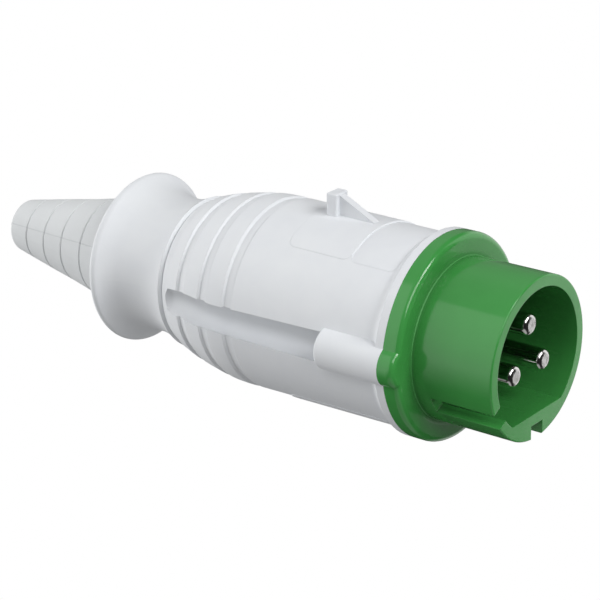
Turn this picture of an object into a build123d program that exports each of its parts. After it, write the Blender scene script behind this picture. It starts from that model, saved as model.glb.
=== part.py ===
"""Pin and sleeve plug for extra-low voltage, three equal pins.

Frame: origin at the centre of the open rim, +Z runs along the axis to the cable end,
+Y is the side of the locking lug, the two screw channels lie at +X and -X.
The plug stands on its rim, which is its widest flat end.
"""
import math
import os

from build123d import *

os.makedirs("parts", exist_ok=True)

# Sleeve and its keyways
sleeve_radius = 22.5
sleeve_wall = 3.1
sleeve_bore = sleeve_radius - sleeve_wall
rim_edge = 0.4
inner_flat_y = -15.3
key_width = 5.5
key_floor_y = -18.35
slot_width = 5.6
slot_angle = -30.3
slot_depth = 19.6
slot_reach = 8.0

# Flange
flange_front = 24.5
flange_rear = 29.3
flange_radius = 28.75
flange_edge = 1.7
root_fillet = 0.25
lobe_offset = 25.4
lobe_radius = 5.9

# Pin floor and spigot
floor_front = 26.0
floor_rear = 30.5
spigot_radius = 24.2
spigot_wall = 2.2
spigot_end = 37.0
spigot_clearance = 0.4

# Contact pins
pin_radius = 3.0
pin_tip = 2.2
pin_tip_edge = 1.3
pin_circle = 8.15
pin_centre_y = 0.7
pin_angles = (90, 210, 330)
pin_stretch_end = 25.0
pin_root_radius = 3.35
least_edge = 0.01
pin_hole_clearance = 0.3
collar_radius = 4.9
collar_thick = 1.5
barrel_radius = 3.9
barrel_end = 45.0
wire_hole_radius = 1.9
wire_hole_depth = 9.0
terminal_screw_z = 40.5
terminal_screw_radius = 1.7
terminal_hole_radius = 2.0
terminal_screw_length = 3.6
terminal_slot_width = 0.6
terminal_slot_depth = 0.8

# Contact carrier
carrier_radius = 18.4
carrier_rear = 46.0
socket_clearance = 0.35
access_radius = 2.4
carrier_screw_offset = 12.6
carrier_screw_angles = (30, 150)
post_radius = 2.9
post_end = 37.0
post_clearance = 0.3
carrier_screw_radius = 1.25
carrier_pilot_radius = 1.55
carrier_screw_way = 1.85
carrier_head_radius = 2.5
carrier_head_height = 1.7
carrier_head_edge = 0.5
carrier_cross_length = 2.4
carrier_cross_width = 0.6
carrier_cross_depth = 0.9
carrier_screw_length = 8.0
carrier_web = 1.6
counterbore_radius = 2.9

# Gasket
gasket_thick = 1.0
gasket_inset = 1.9
gasket_bore = 24.9
gasket_clearance = 0.3

# Handle shell
lip_radius = flange_radius
lip_end = 31.8
lip_middle = (27.45, 33.0)
waist_z = 34.9
shell_wall = 2.35
cavity_radius = spigot_radius + spigot_clearance
waist_radius = cavity_radius + shell_wall
belly_z = 84.0
belly_radius = 27.35
barrel_points = ((27.35, 87.5), (26.9, 92.3), (25.8, 98.2), (24.8, 102.8), (23.5, 107.0))
cavity_points = ((23.5, 93.0), (21.2, 102.5), (19.4, 108.0))
shell_end = 110.2
shell_end_radius = 22.6
shoulder_radius = 21.3
groove_fronts = (81.1, 90.3, 99.6)
groove_radii = (27.35, 27.1, 25.5)
groove_width = 2.8
groove_fall = (0.0, 0.35, 0.75)
groove_step = 0.35
groove_depth = 0.6
groove_reach = 1.2
tail_step_z = 107.4
tail_step_radius = 23.05
tail_radius = 22.0

# Screw channels and bosses
channel_radius = 4.8
channel_end_radius = 3.9
channel_end = 108.9
channel_end_edge = 2.8
pillar_wall = 1.5
pillar_radius = channel_radius + pillar_wall
pillar_clearance = 0.4
boss_end = 50.1
boss_edge = 0.9
screw_seat = 39.0
screw_radius = 2.0
screw_bore = 2.3

# Spout
spout_radius = 17.6
spout_bore = 14.8
spout_end = 127.0
turn_radius = 18.2
turn_pitch = 2.5
turn_start = 117.0
turn_count = 4
turn_width = 0.8

# Locking lug
lug_half_width = 2.7
lug_front = 63.0
lug_rear = 66.5
lug_rise = 6.3
lug_edge = 0.5
rib_half_width = 1.15
rib_drop = 0.3
rib_foot_sink = 0.5
rib_foot_z = 50.2
root_sink = 1.6

# Panels: a recess on the top, a low pad behind it and one on the base
panel_half_width = 16.3
panel_front = 34.1
recess_rear = 48.9
recess_depth = 0.33
recess_slant = 0.5
back_panel_rear = 69.6
back_panel_rise = 0.1
base_panel_half_width = 17.2
base_panel_rear = 69.4
base_panel_rise = 0.28
panel_corner = 2.4

# Assembly screws, washers and inserts
washer_radius = 4.3
washer_thick = 0.8
screw_head_radius = 3.8
screw_head_height = 3.0
screw_head_edge = 0.8
recess_length = 4.0
recess_width = 0.9
recess_depth_in_head = 1.6
screw_tip = 26.6
insert_hole_radius = 3.3
insert_radius = 3.0
insert_front = 26.2
insert_bore = 2.3

# Gland nut
nut_front = 110.8
nut_rear = 136.25
nut_front_radius = 22.3
nut_front_edge = 0.8
nut_neck_points = ((21.2, 114.2), (20.15, 118.6), (19.95, 122.4), (20.4, 126.2), (21.3, 129.2), (22.6, 131.4))
guard_front = (24.45, 133.2)
guard_crest = (25.05, 134.35)
guard_rear = (24.4, 135.5)
guard_tail = (23.9, 136.05)
guard_back_radius = 22.9
nut_bore = 18.5
nut_counterbore = 19.6
nut_counterbore_end = 114.6
nut_shoulder = 131.8
nut_mouth = 17.35

# Seal, cage and slip ring
o_ring_z = 113.0
o_ring_radius = 18.6
o_ring_section = 0.7
cage_front = 117.0
cage_outer = 14.4
cage_bore = 11.4
cage_flange_radius = 17.9
cage_flange_thick = 1.6
finger_end = 134.0
finger_radius = 13.2
finger_count = 8
finger_gap = 1.6
finger_taper = 0.6
seal_front = 118.0
seal_rear = 133.5
seal_outer = 11.1
seal_bore = 6.5
slip_ring_radius = 18.1
slip_ring_bore = 14.2
slip_ring_thick = 1.2

# Cable sleeve
cone_flange_radius = 18.1
cone_flange_thick = 2.0
cone_base_radius = 16.8
cone_base_end = 138.2
cone_rings = ((14.7, 149.0), (12.75, 158.3), (11.2, 166.8), (9.5, 175.5))
ring_width = 0.7
ring_depth = 0.35
cone_end = 184.4
cone_end_radius = 7.75
cone_end_edge = 2.0
cone_base_bore = 14.0
cable_hole_radius = 5.5
cable_hole_start = 175.4


def polar_point(radius, angle, centre_y=0.0):
    """Point on a circle around a centre on the Y axis."""
    turn = math.radians(angle)
    return (radius * math.cos(turn), centre_y + radius * math.sin(turn))


pin_points = [polar_point(pin_circle, a, pin_centre_y) for a in pin_angles]
post_points = [polar_point(carrier_screw_offset, a, pin_centre_y) for a in carrier_screw_angles]
lobe_points = [(lobe_offset, 0), (-lobe_offset, 0)]

# Front shroud: flange, sleeve, pin floor and spigot in one moulding
with BuildPart() as front_shroud:
    with BuildSketch(Plane.XY.offset(flange_front)):
        Circle(flange_radius)
        with Locations(*lobe_points):
            Circle(lobe_radius)
    extrude(amount=flange_rear - flange_front)
    flange_rim = front_shroud.faces().sort_by(Axis.Z)[0].edges()
    fillet(flange_rim, flange_edge)
    with BuildSketch():
        Circle(sleeve_radius)
    extrude(amount=flange_rear)
    root = front_shroud.edges().filter_by(GeomType.CIRCLE).filter_by(
        lambda e: abs(e.radius - sleeve_radius) < 0.01 and abs(e.center().Z - flange_front) < 0.01)
    fillet(root, root_fillet)
    with BuildSketch(Plane.XY.offset(flange_rear)):
        Circle(spigot_radius)
        Circle(spigot_radius - spigot_wall, mode=Mode.SUBTRACT)
        with Locations(*lobe_points):
            Circle(pillar_radius + pillar_clearance, mode=Mode.SUBTRACT)
    extrude(amount=spigot_end - flange_rear)
    with BuildSketch():
        Circle(sleeve_bore)
        with Locations((0, inner_flat_y - sleeve_radius)):
            Rectangle(2 * sleeve_radius, 2 * sleeve_radius, mode=Mode.SUBTRACT)
    extrude(amount=floor_front, mode=Mode.SUBTRACT)
    with BuildSketch():
        with Locations((0, key_floor_y - sleeve_wall)):
            Rectangle(key_width, 2 * sleeve_wall)
    extrude(amount=flange_front - root_fillet, mode=Mode.SUBTRACT)
    with BuildSketch():
        with Locations(polar_point(sleeve_radius, slot_angle)):
            Rectangle(slot_reach, slot_width, rotation=slot_angle)
    extrude(amount=slot_depth, mode=Mode.SUBTRACT)
    with BuildSketch(Plane.XY.offset(flange_rear)):
        Circle(carrier_radius)
    extrude(amount=floor_rear - flange_rear)
    with BuildSketch(Plane.XY.offset(floor_front)):
        with Locations(*pin_points):
            Circle(pin_root_radius + pin_hole_clearance)
    extrude(amount=floor_rear - floor_front, mode=Mode.SUBTRACT)
    with BuildSketch(Plane.XY.offset(floor_rear)):
        with Locations(*post_points):
            Circle(post_radius)
    extrude(amount=post_end - floor_rear)
    with BuildSketch(Plane.XY.offset(post_end)):
        with Locations(*post_points):
            Circle(carrier_pilot_radius)
    extrude(amount=-(post_end - floor_rear), mode=Mode.SUBTRACT)
    with BuildSketch(Plane.XY.offset(flange_rear)):
        with Locations(*lobe_points):
            Circle(insert_hole_radius)
    extrude(amount=-(flange_rear - insert_front), mode=Mode.SUBTRACT)
    rim = front_shroud.faces().sort_by(Axis.Z)[0].outer_wire().edges().filter_by(GeomType.CIRCLE)
    fillet(rim.filter_by(lambda e: abs(e.radius - sleeve_radius) < least_edge), rim_edge)
front_shroud.part.label = "front_shroud"
export_step(front_shroud.part, "parts/front_shroud.step")

# Contact carrier: block with pin sockets, post pockets and screw access holes
with BuildPart() as contact_carrier:
    with BuildSketch(Plane.XY.offset(floor_rear)):
        Circle(carrier_radius)
    extrude(amount=carrier_rear - floor_rear)
    with BuildSketch(Plane.XY.offset(floor_rear)):
        with Locations(*pin_points):
            Circle(collar_radius + socket_clearance)
    extrude(amount=collar_thick, mode=Mode.SUBTRACT)
    with BuildSketch(Plane.XY.offset(floor_rear)):
        with Locations(*pin_points):
            Circle(barrel_radius + socket_clearance)
    extrude(amount=carrier_rear - floor_rear, mode=Mode.SUBTRACT)
    with BuildSketch(Plane.XY.offset(floor_rear)):
        with Locations(*post_points):
            Circle(post_radius + post_clearance)
    extrude(amount=post_end - floor_rear, mode=Mode.SUBTRACT)
    with BuildSketch(Plane.XY.offset(post_end)):
        with Locations(*post_points):
            Circle(carrier_screw_way)
    extrude(amount=carrier_rear - post_end, mode=Mode.SUBTRACT)
    with BuildSketch(Plane.XY.offset(carrier_rear)):
        with Locations(*post_points):
            Circle(counterbore_radius)
    extrude(amount=-(carrier_rear - post_end - carrier_web), mode=Mode.SUBTRACT)
    for angle in pin_angles:
        radial = Vector(math.cos(math.radians(angle)), math.sin(math.radians(angle)), 0)
        start = Vector(0, pin_centre_y, terminal_screw_z) + radial * pin_circle
        with BuildSketch(Plane(origin=start, z_dir=radial)):
            Circle(access_radius)
        extrude(amount=carrier_radius, mode=Mode.SUBTRACT)
contact_carrier.part.label = "contact_carrier"
export_step(contact_carrier.part, "parts/contact_carrier.step")

# Contact pins, each turned with a collar and a wire barrel
for number, (point, angle) in enumerate(zip(pin_points, pin_angles), start=1):
    with BuildPart() as contact_pin:
        with BuildSketch(Plane.XY.offset(pin_tip)):
            with Locations(point):
                Circle(pin_radius)
        extrude(amount=floor_rear - pin_tip)
        fillet(contact_pin.faces().sort_by(Axis.Z)[0].edges(), pin_tip_edge)
        with BuildSketch(Plane.XY.offset(pin_stretch_end)):
            with Locations(point):
                Circle(pin_root_radius)
        extrude(amount=floor_rear - pin_stretch_end)
        root_rim = contact_pin.edges().filter_by(GeomType.CIRCLE).filter_by(
            lambda e: abs(e.radius - pin_root_radius) < 0.01 and abs(e.center().Z - pin_stretch_end) < 0.01)
        chamfer(root_rim, pin_root_radius - pin_radius - least_edge)
        with BuildSketch(Plane.XY.offset(floor_rear)):
            with Locations(point):
                Circle(collar_radius)
        extrude(amount=collar_thick)
        with BuildSketch(Plane.XY.offset(floor_rear + collar_thick)):
            with Locations(point):
                Circle(barrel_radius)
        extrude(amount=barrel_end - floor_rear - collar_thick)
        with BuildSketch(Plane.XY.offset(barrel_end)):
            with Locations(point):
                Circle(wire_hole_radius)
        extrude(amount=-wire_hole_depth, mode=Mode.SUBTRACT)
        radial = Vector(math.cos(math.radians(angle)), math.sin(math.radians(angle)), 0)
        start = Vector(point[0], point[1], terminal_screw_z)
        with BuildSketch(Plane(origin=start, z_dir=radial)):
            Circle(terminal_hole_radius)
        extrude(amount=collar_radius, mode=Mode.SUBTRACT)
    contact_pin.part.label = f"pin_{number}"
    export_step(contact_pin.part, f"parts/pin_{number}.step")

# Terminal screws: slotted grub screws, one in each barrel
with BuildPart() as terminal_screws:
    for angle in pin_angles:
        radial = Vector(math.cos(math.radians(angle)), math.sin(math.radians(angle)), 0)
        start = Vector(0, pin_centre_y, terminal_screw_z)
        start = start + radial * (pin_circle + wire_hole_radius)
        screw_plane = Plane(origin=start, x_dir=(0, 0, 1), z_dir=radial)
        with BuildSketch(screw_plane):
            Circle(terminal_screw_radius)
        extrude(amount=terminal_screw_length)
        with BuildSketch(screw_plane.offset(terminal_screw_length)):
            Rectangle(2 * terminal_hole_radius, terminal_slot_width)
        extrude(amount=-terminal_slot_depth, mode=Mode.SUBTRACT)
terminal_screws.part.label = "terminal_screws"
export_step(terminal_screws.part, "parts/terminal_screws.step")

# Carrier screws: pan heads in the counterbores
carrier_seat = post_end + carrier_web
with BuildPart() as carrier_screws:
    with BuildSketch(Plane.XY.offset(carrier_seat)):
        with Locations(*post_points):
            Circle(carrier_head_radius)
    extrude(amount=carrier_head_height)
    fillet(carrier_screws.edges().group_by(Axis.Z)[-1], carrier_head_edge)
    with BuildSketch(Plane.XY.offset(carrier_seat)):
        with Locations(*post_points):
            Circle(carrier_screw_radius)
    extrude(amount=-(carrier_screw_length - carrier_head_height))
    with BuildSketch(Plane.XY.offset(carrier_seat + carrier_head_height)):
        with Locations(*post_points):
            Rectangle(carrier_cross_length, carrier_cross_width)
            Rectangle(carrier_cross_width, carrier_cross_length)
    extrude(amount=-carrier_cross_depth, mode=Mode.SUBTRACT)
carrier_screws.part.label = "carrier_screws"
export_step(carrier_screws.part, "parts/carrier_screws.step")

# Flange gasket: flat ring with an eye round each screw
gasket_radius = flange_radius - gasket_inset
gasket_eye = lobe_radius - gasket_inset
with BuildPart() as flange_gasket:
    with BuildSketch(Plane.XY.offset(flange_rear)):
        Circle(gasket_radius)
        with Locations(*lobe_points):
            Circle(gasket_eye)
        Circle(gasket_bore, mode=Mode.SUBTRACT)
        with Locations(*lobe_points):
            Circle(screw_bore + gasket_clearance, mode=Mode.SUBTRACT)
    extrude(amount=gasket_thick)
flange_gasket.part.label = "flange_gasket"
export_step(flange_gasket.part, "parts/flange_gasket.step")


def body_radius(z):
    """Radius of the straight stretch of the handle at height z."""
    share = (z - waist_z) / (belly_z - waist_z)
    return waist_radius + share * (belly_radius - waist_radius)


def panel_solid(z_low, z_high, low, high, half_width, side, slant=0.0):
    """Patch of the handle's skin between two offsets, on the side of +Y (1) or -Y (-1)."""
    with BuildPart() as panel:
        with BuildSketch(Plane.XZ):
            Polygon(
                (body_radius(z_low) + low, z_low),
                (body_radius(z_low) + high, z_low),
                (body_radius(z_high) + high, z_high + slant),
                (body_radius(z_high) + low, z_high),
                align=None,
            )
        revolve(axis=Axis.Z)
        with BuildSketch(Plane.XZ):
            with Locations((0, (z_low + z_high) / 2)):
                RectangleRounded(2 * half_width, z_high - z_low + slant, panel_corner)
        extrude(amount=-side * 2 * lip_radius, mode=Mode.INTERSECT)
    return panel.part


top_recess = panel_solid(
    panel_front, recess_rear, -recess_depth, lip_radius - waist_radius, panel_half_width, 1, recess_slant)
back_panel = panel_solid(
    recess_rear, back_panel_rear, -root_sink, back_panel_rise, panel_half_width, 1)
base_panel = panel_solid(
    panel_front, base_panel_rear, -root_sink, base_panel_rise, base_panel_half_width, -1)

# Bosses at the front of the screw channels, rounded at the rear
with BuildPart() as boss_pair:
    with BuildSketch(Plane.XY.offset(flange_rear)):
        with Locations(*lobe_points):
            Circle(lobe_radius)
    extrude(amount=boss_end - flange_rear)
    fillet(boss_pair.edges().group_by(Axis.Z)[-1], boss_edge)

# Locking lug: post across the axis with a rib sloping to the front
lug_base = body_radius(lug_front)
lug_root = lug_base - root_sink
lug_top = lug_base + lug_rise
rib_top = lug_top - rib_drop
rib_foot = body_radius(rib_foot_z) - rib_foot_sink
with BuildPart() as locking_lug:
    with BuildSketch(Plane.XY.offset(lug_front)):
        with Locations((0, (lug_root + lug_top) / 2)):
            Rectangle(2 * lug_half_width, lug_top - lug_root)
    extrude(amount=lug_rear - lug_front)
    post_edges = locking_lug.faces().sort_by(Axis.Y)[-1].edges() + locking_lug.edges().filter_by(Axis.Y)
    fillet(post_edges, lug_edge)
    with BuildSketch(Plane.YZ):
        Polygon(
            (lug_root, rib_foot_z),
            (rib_foot, rib_foot_z),
            (rib_top, lug_front + lug_edge),
            (lug_root, lug_front + lug_edge),
            align=None,
        )
    extrude(amount=rib_half_width, both=True)

# Hollow of the handle, with a pillar left round each screw channel
with BuildPart() as handle_hollow:
    with BuildSketch(Plane.XZ):
        with BuildLine():
            Polyline((0, flange_rear), (cavity_radius, flange_rear), (cavity_radius, belly_z))
            Spline((cavity_radius, belly_z), *cavity_points)
            Polyline(
                cavity_points[-1],
                (spout_bore, nut_front),
                (spout_bore, spout_end),
                (0, spout_end),
                (0, flange_rear),
            )
        make_face()
    revolve(axis=Axis.Z)
    with BuildSketch(Plane.XY.offset(flange_rear)):
        with Locations(*lobe_points):
            Circle(pillar_radius)
    extrude(amount=spout_end - flange_rear, mode=Mode.SUBTRACT)

# Screw channels, open at the side behind the bosses and narrower at the rear
cone_align = (Align.CENTER, Align.CENTER, Align.MIN)
with BuildPart() as channel_pair:
    with Locations(*[(x, y, screw_seat) for x, y in lobe_points]):
        Cone(channel_radius, channel_end_radius, channel_end - screw_seat, align=cone_align)
    fillet(channel_pair.edges().group_by(Axis.Z)[-1], channel_end_edge)

# Handle: one light shell from the lip to the threaded spout
with BuildPart() as handle:
    with BuildSketch(Plane.XZ):
        with BuildLine():
            Polyline((0, flange_rear), (lip_radius, flange_rear), (lip_radius, lip_end))
            ThreePointArc((lip_radius, lip_end), lip_middle, (waist_radius, waist_z))
            Line((waist_radius, waist_z), (belly_radius, belly_z))
            Spline((belly_radius, belly_z), *barrel_points, (shell_end_radius, shell_end))
            Polyline(
                (shell_end_radius, shell_end),
                (shoulder_radius, shell_end),
                (shoulder_radius, nut_front),
                (spout_radius, nut_front),
                (spout_radius, spout_end),
                (0, spout_end),
                (0, flange_rear),
            )
        make_face()
    revolve(axis=Axis.Z)
    for front, radius, fall in zip(groove_fronts, groove_radii, groove_fall):
        with BuildSketch(Plane.XZ):
            Polygon(
                (radius - groove_step, front),
                (radius + groove_reach, front),
                (radius + groove_reach, front + groove_width + groove_depth + fall + groove_reach),
                (radius - groove_depth - fall, front + groove_width),
                align=None,
            )
        revolve(axis=Axis.Z, mode=Mode.SUBTRACT)
    with BuildSketch(Plane.XZ):
        Polygon(
            (tail_step_radius, tail_step_z),
            (lip_radius, tail_step_z),
            (lip_radius, shell_end),
            (tail_radius, shell_end),
            align=None,
        )
    revolve(axis=Axis.Z, mode=Mode.SUBTRACT)
    for turn in range(turn_count):
        with BuildSketch(Plane.XZ):
            with Locations((spout_radius, turn_start + turn * turn_pitch)):
                Rectangle(2 * (turn_radius - spout_radius), turn_width)
        revolve(axis=Axis.Z)
    add(back_panel)
    add(base_panel)
    add(top_recess, mode=Mode.SUBTRACT)
    add(boss_pair.part)
    add(locking_lug.part)
    add(handle_hollow.part, mode=Mode.SUBTRACT)
    add(channel_pair.part, mode=Mode.SUBTRACT)
    with BuildSketch(Plane.XY.offset(flange_rear)):
        with Locations(*lobe_points):
            Circle(screw_bore)
    extrude(amount=screw_seat - flange_rear, mode=Mode.SUBTRACT)
    with BuildSketch(Plane.XY.offset(flange_rear)):
        Circle(gasket_radius + gasket_clearance)
        with Locations(*lobe_points):
            Circle(gasket_eye + gasket_clearance)
    extrude(amount=gasket_thick, mode=Mode.SUBTRACT)
handle.part.label = "handle"
export_step(handle.part, "parts/handle.step")

# Washers under the assembly screws
with BuildPart() as screw_washers:
    with BuildSketch(Plane.XY.offset(screw_seat)):
        with Locations(*lobe_points):
            Circle(washer_radius)
            Circle(screw_bore, mode=Mode.SUBTRACT)
    extrude(amount=washer_thick)
screw_washers.part.label = "screw_washers"
export_step(screw_washers.part, "parts/screw_washers.step")

# Assembly screws with cross recess
head_seat = screw_seat + washer_thick
with BuildPart() as assembly_screws:
    with BuildSketch(Plane.XY.offset(head_seat)):
        with Locations(*lobe_points):
            Circle(screw_head_radius)
    extrude(amount=screw_head_height)
    fillet(assembly_screws.edges().group_by(Axis.Z)[-1], screw_head_edge)
    with BuildSketch(Plane.XY.offset(head_seat)):
        with Locations(*lobe_points):
            Circle(screw_radius)
    extrude(amount=screw_tip - head_seat)
    with BuildSketch(Plane.XY.offset(head_seat + screw_head_height)):
        with Locations(*lobe_points):
            Rectangle(recess_length, recess_width)
            Rectangle(recess_width, recess_length)
    extrude(amount=-recess_depth_in_head, mode=Mode.SUBTRACT)
assembly_screws.part.label = "assembly_screws"
export_step(assembly_screws.part, "parts/assembly_screws.step")

# Threaded inserts in the flange lobes
with BuildPart() as flange_inserts:
    with BuildSketch(Plane.XY.offset(insert_front)):
        with Locations(*lobe_points):
            Circle(insert_radius)
            Circle(insert_bore, mode=Mode.SUBTRACT)
    extrude(amount=flange_rear - insert_front)
flange_inserts.part.label = "flange_inserts"
export_step(flange_inserts.part, "parts/flange_inserts.step")

# Gland nut with the round hand guard
with BuildPart() as gland_nut:
    with BuildSketch(Plane.XZ):
        with BuildLine():
            Polyline(
                (nut_mouth, nut_rear),
                (nut_mouth, nut_shoulder),
                (nut_bore, nut_shoulder),
                (nut_bore, nut_counterbore_end),
                (nut_counterbore, nut_counterbore_end),
                (nut_counterbore, nut_front),
                (nut_front_radius - nut_front_edge, nut_front),
                (nut_front_radius, nut_front + nut_front_edge),
            )
            Spline((nut_front_radius, nut_front + nut_front_edge), *nut_neck_points, guard_front)
            ThreePointArc(guard_front, guard_crest, guard_rear)
            ThreePointArc(guard_rear, guard_tail, (guard_back_radius, nut_rear))
            Line((guard_back_radius, nut_rear), (nut_mouth, nut_rear))
        make_face()
    revolve(axis=Axis.Z)
gland_nut.part.label = "gland_nut"
export_step(gland_nut.part, "parts/gland_nut.step")

# Ring seal between nut and handle
with BuildPart() as gland_o_ring:
    with BuildSketch(Plane.XZ):
        with Locations((o_ring_radius, o_ring_z)):
            Circle(o_ring_section)
    revolve(axis=Axis.Z)
gland_o_ring.part.label = "gland_o_ring"
export_step(gland_o_ring.part, "parts/gland_o_ring.step")

# Clamp cage with fingers round the cable seal
cage_flange_end = spout_end + cage_flange_thick
with BuildPart() as clamp_cage:
    with BuildSketch(Plane.XZ):
        Polygon(
            (cage_bore, cage_front),
            (cage_outer, cage_front),
            (cage_outer, spout_end),
            (cage_flange_radius, spout_end),
            (cage_flange_radius, cage_flange_end),
            (finger_radius, cage_flange_end),
            (finger_radius - finger_taper, finger_end),
            (cage_bore, finger_end),
            align=None,
        )
    revolve(axis=Axis.Z)
    with BuildSketch(Plane.XY.offset(cage_flange_end)):
        with PolarLocations(finger_radius, finger_count):
            Rectangle(finger_radius, finger_gap)
    extrude(amount=finger_end - cage_flange_end, mode=Mode.SUBTRACT)
clamp_cage.part.label = "clamp_cage"
export_step(clamp_cage.part, "parts/clamp_cage.step")

# Rubber seal inside the cage
with BuildPart() as cable_seal:
    with BuildSketch(Plane.XY.offset(seal_front)):
        Circle(seal_outer)
        Circle(seal_bore, mode=Mode.SUBTRACT)
    extrude(amount=seal_rear - seal_front)
cable_seal.part.label = "cable_seal"
export_step(cable_seal.part, "parts/cable_seal.step")

# Slip ring between cage and sleeve flange
with BuildPart() as slip_ring:
    with BuildSketch(Plane.XY.offset(cage_flange_end)):
        Circle(slip_ring_radius)
        Circle(slip_ring_bore, mode=Mode.SUBTRACT)
    extrude(amount=slip_ring_thick)
slip_ring.part.label = "slip_ring"
export_step(slip_ring.part, "parts/slip_ring.step")

# Cable sleeve: cone with trimming rings and a cable hole
cone_start = cage_flange_end + slip_ring_thick
with BuildPart() as cable_sleeve:
    with BuildSketch(Plane.XZ):
        Polygon(
            (cone_base_bore, cone_start),
            (cone_flange_radius, cone_start),
            (cone_flange_radius, cone_start + cone_flange_thick),
            (cone_base_radius, cone_start + cone_flange_thick),
            (cone_base_radius, cone_base_end),
            *cone_rings,
            (cone_end_radius, cone_end),
            (cable_hole_radius, cone_end),
            (cable_hole_radius, cable_hole_start),
            (cone_base_bore, cone_base_end),
            align=None,
        )
    revolve(axis=Axis.Z)
    fillet(cable_sleeve.edges().group_by(Axis.Z)[-1].sort_by(SortBy.RADIUS)[-1], cone_end_edge)
    for radius, z in cone_rings:
        with BuildSketch(Plane.XZ):
            Polygon(
                (radius - ring_depth, z),
                (radius + ring_depth, z - ring_width),
                (radius + ring_depth, z + ring_width),
                align=None,
            )
        revolve(axis=Axis.Z, mode=Mode.SUBTRACT)
cable_sleeve.part.label = "cable_sleeve"
export_step(cable_sleeve.part, "parts/cable_sleeve.step")
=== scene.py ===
"""Pin and sleeve plug with a green keyed collar, seen from its pin end.

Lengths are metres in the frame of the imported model: the open rim lies on the floor
at z = 0, +Z runs along the plug to the cable end and +Y is the side of the lug.
"""
import math

import bpy
from mathutils import Matrix, Vector

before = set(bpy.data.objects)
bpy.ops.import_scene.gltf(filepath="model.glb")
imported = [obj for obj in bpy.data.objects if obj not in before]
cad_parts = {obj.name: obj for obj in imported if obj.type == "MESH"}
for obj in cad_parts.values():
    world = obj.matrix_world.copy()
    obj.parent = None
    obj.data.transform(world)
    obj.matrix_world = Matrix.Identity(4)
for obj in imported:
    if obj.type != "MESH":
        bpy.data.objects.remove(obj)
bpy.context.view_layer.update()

MM = 0.001

# Sockets that are known by their place on the node

GENERATED, OBJECT = 0, 3
VECTOR, VALUE = 0, 1
OPEN_AIR = 1
BACKFACING = 6
CAMERA_RAY, GLOSSY_RAY, TRANSMISSION_RAY = 0, 3, 6
MIX_FACTOR, MIX_FIRST, MIX_SECOND, MIX_COLOUR = 0, 6, 7, 2
SHADER_FACTOR, SHADER_FIRST, SHADER_SECOND = 0, 1, 2

# Shader maths


class Wire:
    """A shader socket that takes part in Python expressions."""

    def __init__(self, shop, socket):
        self.shop = shop
        self.socket = socket

    def math(self, operation, *values):
        return self.shop.node("ShaderNodeMath", {"operation": operation}, dict(enumerate(values)))[0]

    def __add__(self, other):
        return self.math("ADD", self, other)

    def __radd__(self, other):
        return self.math("ADD", other, self)

    def __sub__(self, other):
        return self.math("SUBTRACT", self, other)

    def __rsub__(self, other):
        return self.math("SUBTRACT", other, self)

    def __mul__(self, other):
        return self.math("MULTIPLY", self, other)

    def __rmul__(self, other):
        return self.math("MULTIPLY", other, self)

    def __neg__(self):
        return 0.0 - self

    def __abs__(self):
        return self.math("ABSOLUTE", self)

    def larger(self, other):
        return self.math("MAXIMUM", self, other)

    def root(self):
        return self.math("SQRT", self)


class Shop:
    """The node tree of a material or of the world, with short calls for the nodes it is made of."""

    def __init__(self, tree):
        self.tree = tree
        tree.nodes.clear()

    def node(self, kind, settings=None, values=None):
        made = self.tree.nodes.new(kind)
        for key, value in (settings or {}).items():
            setattr(made, key, value)
        for key, value in (values or {}).items():
            if isinstance(value, Wire):
                self.tree.links.new(value.socket, made.inputs[key])
            else:
                made.inputs[key].default_value = value
        return [Wire(self, socket) for socket in made.outputs]

    def coordinates(self):
        return self.node("ShaderNodeTexCoord")[OBJECT]

    def split(self, vector):
        return self.node("ShaderNodeSeparateXYZ", None, {0: vector})

    def along(self, vector, direction):
        values = {0: vector, 1: direction}
        return self.node("ShaderNodeVectorMath", {"operation": "DOT_PRODUCT"}, values)[VALUE]

    def noise(self, vector, cells, detail=3.0, roughness=0.5):
        """Even noise with about so many cells to the metre."""
        values = {"Vector": vector, "Scale": cells, "Detail": detail, "Roughness": roughness}
        return self.node("ShaderNodeTexNoise", None, values)[0]

    def streaks(self, vector, cells, detail=2.0):
        """Noise drawn out along an axis, with its own number of cells along X, Y and Z."""
        values = {0: vector, 1: cells}
        stretched = self.node("ShaderNodeVectorMath", {"operation": "MULTIPLY"}, values)[VECTOR]
        return self.noise(stretched, 1.0, detail)

    def rise(self, value, low, high):
        """Runs from 0 at low to 1 at high and stays there."""
        values = {"Value": value, "From Min": low, "From Max": high}
        return self.node("ShaderNodeMapRange", {"clamp": True}, values)[0]

    def fall(self, value, low, high):
        """Runs from 1 at low to 0 at high and stays there."""
        return self.rise(-value, -high, -low)

    def mix(self, factor, first, second):
        values = {MIX_FACTOR: factor, MIX_FIRST: first, MIX_SECOND: second}
        return self.node("ShaderNodeMix", {"data_type": "RGBA"}, values)[MIX_COLOUR]

    def bump(self, height, distance, strength=1.0, normal=None):
        values = {"Height": height, "Distance": distance, "Strength": strength}
        if normal is not None:
            values["Normal"] = normal
        return self.node("ShaderNodeBump", None, values)[0]

    def finish(self, **values):
        """Closes a material: base_color=... sets Base Color, and so on for each socket of its surface."""
        named = {}
        for key, value in values.items():
            named[key.replace("_", " ").title().replace("Ior", "IOR")] = value
        shader = self.node("ShaderNodeBsdfPrincipled", None, named)[0]
        self.node("ShaderNodeOutputMaterial", None, {"Surface": shader})


def new_material(name):
    material = bpy.data.materials.new(name)
    material.use_nodes = True
    return material, Shop(material.node_tree)


def colour(r, g, b):
    return (r, g, b, 1.0)


# Colours

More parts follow.
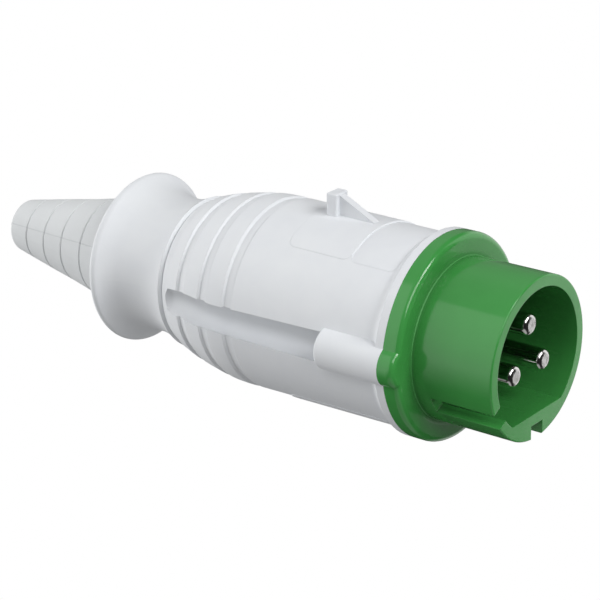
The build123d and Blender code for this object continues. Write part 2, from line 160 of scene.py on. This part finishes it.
SHELL_GREY = colour(0.79, 0.81, 0.83)
SHELL_SHADE = colour(0.75, 0.77, 0.80)
SLEEVE_GREY = colour(0.72, 0.74, 0.75)
SLEEVE_SHADE = colour(0.68, 0.70, 0.71)
SEAM_GREY = colour(0.52, 0.54, 0.56)
COLLAR_GREEN = colour(0.055, 0.310, 0.066)
COLLAR_DEEP = colour(0.048, 0.280, 0.058)
# Painted shade: the darker green laid on the collar where occlusion finds hollows
PAINTED_SHADE_GREEN = colour(0.010, 0.060, 0.012)
CAGE_GREY = colour(0.40, 0.41, 0.42)
CAGE_SHADE = colour(0.34, 0.35, 0.36)
NICKEL_BRIGHT = colour(0.66, 0.65, 0.64)
NICKEL_DULL = colour(0.50, 0.49, 0.47)
ZINC_BRIGHT = colour(0.62, 0.63, 0.66)
ZINC_DULL = colour(0.48, 0.48, 0.47)
BRASS_BRIGHT = colour(0.78, 0.58, 0.26)
BRASS_DULL = colour(0.58, 0.42, 0.18)
RUBBER_BLACK = colour(0.018, 0.018, 0.019)
RUBBER_BLOOM = colour(0.045, 0.045, 0.047)

# Places on the plug where a finish changes

EDGE_ROUNDING = 0.00025
SEAM_HALF_WIDTH = (0.00008, 0.00022)
SEAM_TURN = math.radians(21)
SEAM_SIDE = (math.sin(SEAM_TURN), -math.cos(SEAM_TURN), 0)
FOOT_HEIGHT = (0.0236, 0.0241)
FOOT_RADIUS = (0.0229, 0.0240)
INSIDE_RADIUS = (0.0198, 0.0206)
# Reach and bounds of the occlusion that paints shade on the collar
HOLLOW_REACH = 0.045
HOLLOW_SHUT = (0.25, 0.85)
PIN_END_HEIGHT = (0.0023, 0.0026)


def collar_painted_shade(shop, place):
    """Painted shade of the collar: dark and dull where occlusion finds hollows, less so inside the sleeve;
    only dull along its foot.
    """
    x, y, z = shop.split(place)
    radius = (x * x + y * y).root()
    foot = shop.rise(z, *FOOT_HEIGHT) * shop.fall(radius, *FOOT_RADIUS)
    settings = {"samples": 8, "only_local": True}
    open_air = shop.node("ShaderNodeAmbientOcclusion", settings, {"Distance": HOLLOW_REACH})[OPEN_AIR]
    inside = shop.fall(radius, *INSIDE_RADIUS)
    return shop.rise(1.0 - open_air, *HOLLOW_SHUT) * (1.0 - inside * 0.45), foot


def moulded(name, bright, shade, roughness, grain, shine=0.5, shade_painter=None, seam_side=None):
    """Moulded plastic: slow colour drift, uneven polish, fine grain, and where asked painted shade in hollows
    or a seam.
    """
    material, shop = new_material(name)
    place = shop.coordinates()
    drift = shop.streaks(place, cells=(40, 40, 14))
    cloud = shop.noise(place, cells=160.0)
    pores = shop.noise(place, cells=2600.0, detail=4.0, roughness=0.6)
    rub = shop.streaks(place, cells=(900, 900, 120))
    scuff = shop.rise(rub, 0.62, 0.74)
    tone = shop.rise(drift * 0.6 + cloud * 0.4, 0.34, 0.66)
    edges = shop.node("ShaderNodeBevel", {"samples": 4}, {"Radius": EDGE_ROUNDING})[0]
    paint = shop.mix(tone, bright, shade)
    height = pores * 0.5 + cloud * 2.0 + scuff * 0.15
    if seam_side:
        seam = 1.0 - shop.rise(abs(shop.along(place, seam_side)), *SEAM_HALF_WIDTH)
        paint = shop.mix(seam * 0.35, paint, SEAM_GREY)
        height = height + seam * 2.0
    polish = roughness + (cloud - 0.5) * 0.10 + scuff * 0.06
    if shade_painter:
        painted_shade, foot = shade_painter(shop, place)
        # Painted shade: darker colour and rougher polish where the occlusion mask finds hollows
        paint = shop.mix(painted_shade * 0.9, paint, PAINTED_SHADE_GREEN)
        polish = polish + (painted_shade + foot) * 0.35
    shop.finish(
        base_color=paint,
        roughness=polish,
        normal=shop.bump(height, grain, normal=edges),
        specular_ior_level=shine,
    )
    return material


def nickel_plate():
    """Bright nickel on turned brass: faint rings along the pin, slight tarnish, scratched ends."""
    material, shop = new_material("nickel_plate")
    place = shop.coordinates()
    rings = shop.streaks(place, cells=(120, 120, 9000))
    haze = shop.noise(place, cells=420.0)
    wear = shop.rise(haze, 0.50, 0.70)
    scratches = shop.rise(shop.streaks(place, cells=(3200, 700, 150), detail=3.0), 0.52, 0.70)
    end = shop.fall(shop.split(place)[2], *PIN_END_HEIGHT)
    shop.finish(
        base_color=shop.mix(wear.larger(scratches * end), NICKEL_BRIGHT, NICKEL_DULL),
        metallic=1.0,
        roughness=0.06 + haze * 0.06 + wear * 0.06 + end * (0.10 + scratches * 0.10),
        normal=shop.bump(rings * 0.4 + scratches * end, 0.00002, 0.5),
    )
    return material


def zinc_steel():
    """Zinc-plated screws and washers with fine brushed marks."""
    material, shop = new_material("zinc_steel")
    place = shop.coordinates()
    marks = shop.streaks(place, cells=(2500, 300, 2500), detail=3.0)
    stain = shop.noise(place, cells=380.0)
    shop.finish(
        base_color=shop.mix(stain, ZINC_BRIGHT, ZINC_DULL),
        metallic=1.0,
        roughness=0.28 + marks * 0.18,
        normal=shop.bump(marks, 0.00003, 0.6),
    )
    return material


def turned_brass():
    """Plain turned brass of the inserts."""
    material, shop = new_material("turned_brass")
    place = shop.coordinates()
    rings = shop.streaks(place, cells=(150, 150, 7000))
    stain = shop.noise(place, cells=300.0)
    shop.finish(
        base_color=shop.mix(stain, BRASS_BRIGHT, BRASS_DULL),
        metallic=1.0,
        roughness=0.24 + stain * 0.16,
        normal=shop.bump(rings, 0.00002, 0.5),
    )
    return material


def seal_rubber():
    """Black rubber with a dull bloom."""
    material, shop = new_material("seal_rubber")
    place = shop.coordinates()
    bloom = shop.noise(place, cells=260.0, detail=4.0)
    pores = shop.noise(place, cells=3500.0)
    shop.finish(
        base_color=shop.mix(bloom, RUBBER_BLACK, RUBBER_BLOOM),
        roughness=0.62 + bloom * 0.20,
        normal=shop.bump(pores, 0.00003, 0.6),
    )
    return material


shell_plastic = moulded("shell_plastic", SHELL_GREY, SHELL_SHADE, roughness=0.42, grain=0.00002, shine=0.12)
sleeve_plastic = moulded(
    "sleeve_plastic", SLEEVE_GREY, SLEEVE_SHADE, roughness=0.55, grain=0.00003, shine=0.1, seam_side=SEAM_SIDE
)
# The collar's colour carries painted shade in its hollows
collar_plastic = moulded(
    "collar_plastic", COLLAR_GREEN, COLLAR_DEEP, roughness=0.12, grain=0.000006, shade_painter=collar_painted_shade
)
cage_plastic = moulded("cage_plastic", CAGE_GREY, CAGE_SHADE, roughness=0.45, grain=0.00002)
nickel = nickel_plate()
zinc = zinc_steel()
brass = turned_brass()
rubber = seal_rubber()

finish_of_node = {
    "handle": shell_plastic,
    "gland_nut": shell_plastic,
    "cable_sleeve": sleeve_plastic,
    "front_shroud": collar_plastic,
    "contact_carrier": collar_plastic,
    "clamp_cage": cage_plastic,
    "slip_ring": cage_plastic,
    "pin_1": nickel,
    "pin_2": nickel,
    "pin_3": nickel,
    "terminal_screws": zinc,
    "carrier_screws": zinc,
    "assembly_screws": zinc,
    "screw_washers": zinc,
    "flange_inserts": brass,
    "flange_gasket": rubber,
    "gland_o_ring": rubber,
    "cable_seal": rubber,
}
for node_name, finish in finish_of_node.items():
    for material_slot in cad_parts[node_name].material_slots:
        material_slot.material = finish

# Camera, fitted to the round edges of the plug

PICTURE_PIXELS = 600
FOCAL_PIXELS = 2200
SENSOR_MM = 36.0
NEAREST = 0.01
FARTHEST = 20
EYE = Vector((452.04, 222.51, -276.27)) * MM
RIGHT = Vector((-0.61149, -0.01794, -0.79105))
UP = Vector((-0.29734, 0.93168, 0.20872))
BACK = Vector((0.73326, 0.36284, -0.57505))

camera_data = bpy.data.cameras.new("photo_camera")
camera_data.lens = FOCAL_PIXELS / PICTURE_PIXELS * SENSOR_MM
camera_data.sensor_width = SENSOR_MM
camera_data.clip_start = NEAREST
camera_data.clip_end = FARTHEST
camera = bpy.data.objects.new("photo_camera", camera_data)
camera.matrix_world = Matrix.Translation(EYE) @ Matrix((RIGHT, UP, BACK)).transposed().to_4x4()
bpy.context.scene.collection.objects.link(camera)
bpy.context.scene.camera = camera

# Lamps: square soft boxes round the middle of the plug

PLUG_MIDDLE = Vector((0, 0, 0.085))
LAMP_DISTANCE = 1.2


def soft_box(name, right, up, back, size, power, mirrored=True):
    """Square lamp turned to the plug's middle; its direction is given as the camera sees it."""
    data = bpy.data.lights.new(name, "AREA")
    data.shape = "SQUARE"
    data.size = size
    data.energy = power
    lamp = bpy.data.objects.new(name, data)
    direction = (RIGHT * right + UP * up + BACK * back).normalized()
    lamp.location = PLUG_MIDDLE + direction * LAMP_DISTANCE
    lamp.rotation_mode = "QUATERNION"
    lamp.rotation_quaternion = direction.to_track_quat("Z", "Y")
    lamp.visible_glossy = mirrored
    bpy.context.scene.collection.objects.link(lamp)


soft_box("key_box", 0.62, 0.50, 0.60, size=0.45, power=6.6)
soft_box("front_box", 0.40, 0.25, 0.88, size=0.55, power=4.2)
soft_box("high_box", -0.35, 0.50, 0.80, size=0.35, power=2.4, mirrored=False)
soft_box("left_box", -0.85, 0.35, 0.20, size=0.80, power=2.9, mirrored=False)
soft_box("rear_box", -0.90, 0.10, -0.30, size=0.80, power=8.6, mirrored=False)

# World: white to the camera; matt surfaces get soft graded light, and gloss mirrors a few pale areas

FROM_ABOVE = 0.13
FROM_BELOW = 0.33
FROM_FRONT = 0.17
FROM_REAR = 0.70
LEFT_CARD = 1.3
BACKDROP = 1.15
BACKDROP_SLANT = 1.5
UPPER_SKY = 0.45
TABLE = 0.5
DIM = 0.02


def spread_light(upward, backward):
    """Soft light on matt surfaces, stronger from the rear and from below."""
    lit = upward.larger(0.0) * FROM_ABOVE + (-upward).larger(0.0) * FROM_BELOW
    return lit + backward.larger(0.0) * FROM_FRONT + (-backward).larger(0.0) * FROM_REAR


def mirrored_light(sky, rightward, upward, backward):
    """What gloss mirrors: a card at the left, the slanted backdrop, the upper sky and the table."""
    card = sky.fall(rightward, -0.50, -0.35) * sky.fall(upward, 0.74, 0.78) * sky.rise(upward, -0.68, -0.30)
    slanted = sky.rise(upward - backward * BACKDROP_SLANT, 0.345, 0.43)
    backdrop = slanted * sky.fall(upward, 0.60, 0.75) * sky.rise(rightward, 0.1, 0.5)
    upper_sky = sky.rise(upward, 0.0, 0.5) * sky.fall(rightward, -0.10, 0.35)
    table = sky.fall(upward, -0.88, -0.76)
    brightest = (card * LEFT_CARD).larger(backdrop * BACKDROP)
    return brightest.larger(upper_sky * UPPER_SKY).larger(table * TABLE).larger(DIM)


world = bpy.data.worlds.new("studio")
world.use_nodes = True
bpy.context.scene.world = world
sky = Shop(world.node_tree)
ray = sky.node("ShaderNodeLightPath")
looking = sky.node("ShaderNodeTexCoord")[GENERATED]
rightward, upward, backward = [sky.along(looking, tuple(side)) for side in (RIGHT, UP, BACK)]
white_seen = ray[CAMERA_RAY].larger(ray[TRANSMISSION_RAY])
gloss = ray[GLOSSY_RAY] * mirrored_light(sky, rightward, upward, backward) * (1.0 - white_seen)
matt = (1.0 - white_seen.larger(ray[GLOSSY_RAY])) * spread_light(upward, backward)
brightness = {"Color": colour(1, 1, 1), "Strength": white_seen + gloss + matt}
background = sky.node("ShaderNodeBackground", None, brightness)[0]
sky.node("ShaderNodeOutputWorld", None, {"Surface": background})

# Floor: a pale sheet that shows only from above, so that the low view of the pins stays clear

FLOOR_HALF = 3.0
FLOOR_PALE = colour(0.86, 0.86, 0.86)
FLOOR_SHADE = colour(0.83, 0.83, 0.83)
CORNERS = ((-1, -1), (1, -1), (1, 1), (-1, 1))


def floor_sheet():
    """Matt pale paint to the camera from above, and clear from below and to every other ray."""
    material, shop = new_material("pale_floor")
    ray = shop.node("ShaderNodeLightPath")
    below = shop.node("ShaderNodeNewGeometry")[BACKFACING]
    mottle = shop.noise(shop.coordinates(), cells=60.0, detail=2.0)
    paint = shop.mix(mottle, FLOOR_PALE, FLOOR_SHADE)
    painted = shop.node("ShaderNodeBsdfDiffuse", None, {"Color": paint})[0]
    clear = shop.node("ShaderNodeBsdfTransparent")[0]
    values = {SHADER_FACTOR: ray[CAMERA_RAY] * (1.0 - below), SHADER_FIRST: clear, SHADER_SECOND: painted}
    shown = shop.node("ShaderNodeMixShader", None, values)[0]
    shop.node("ShaderNodeOutputMaterial", None, {"Surface": shown})
    return material


floor_mesh = bpy.data.meshes.new("floor")
floor_points = [(x * FLOOR_HALF, y * FLOOR_HALF, 0) for x, y in CORNERS]
floor_mesh.from_pydata(floor_points, [], [range(len(CORNERS))])
floor_mesh.materials.append(floor_sheet())
floor = bpy.data.objects.new("floor", floor_mesh)
bpy.context.scene.collection.objects.link(floor)

bpy.context.scene.view_settings.view_transform = "Standard"
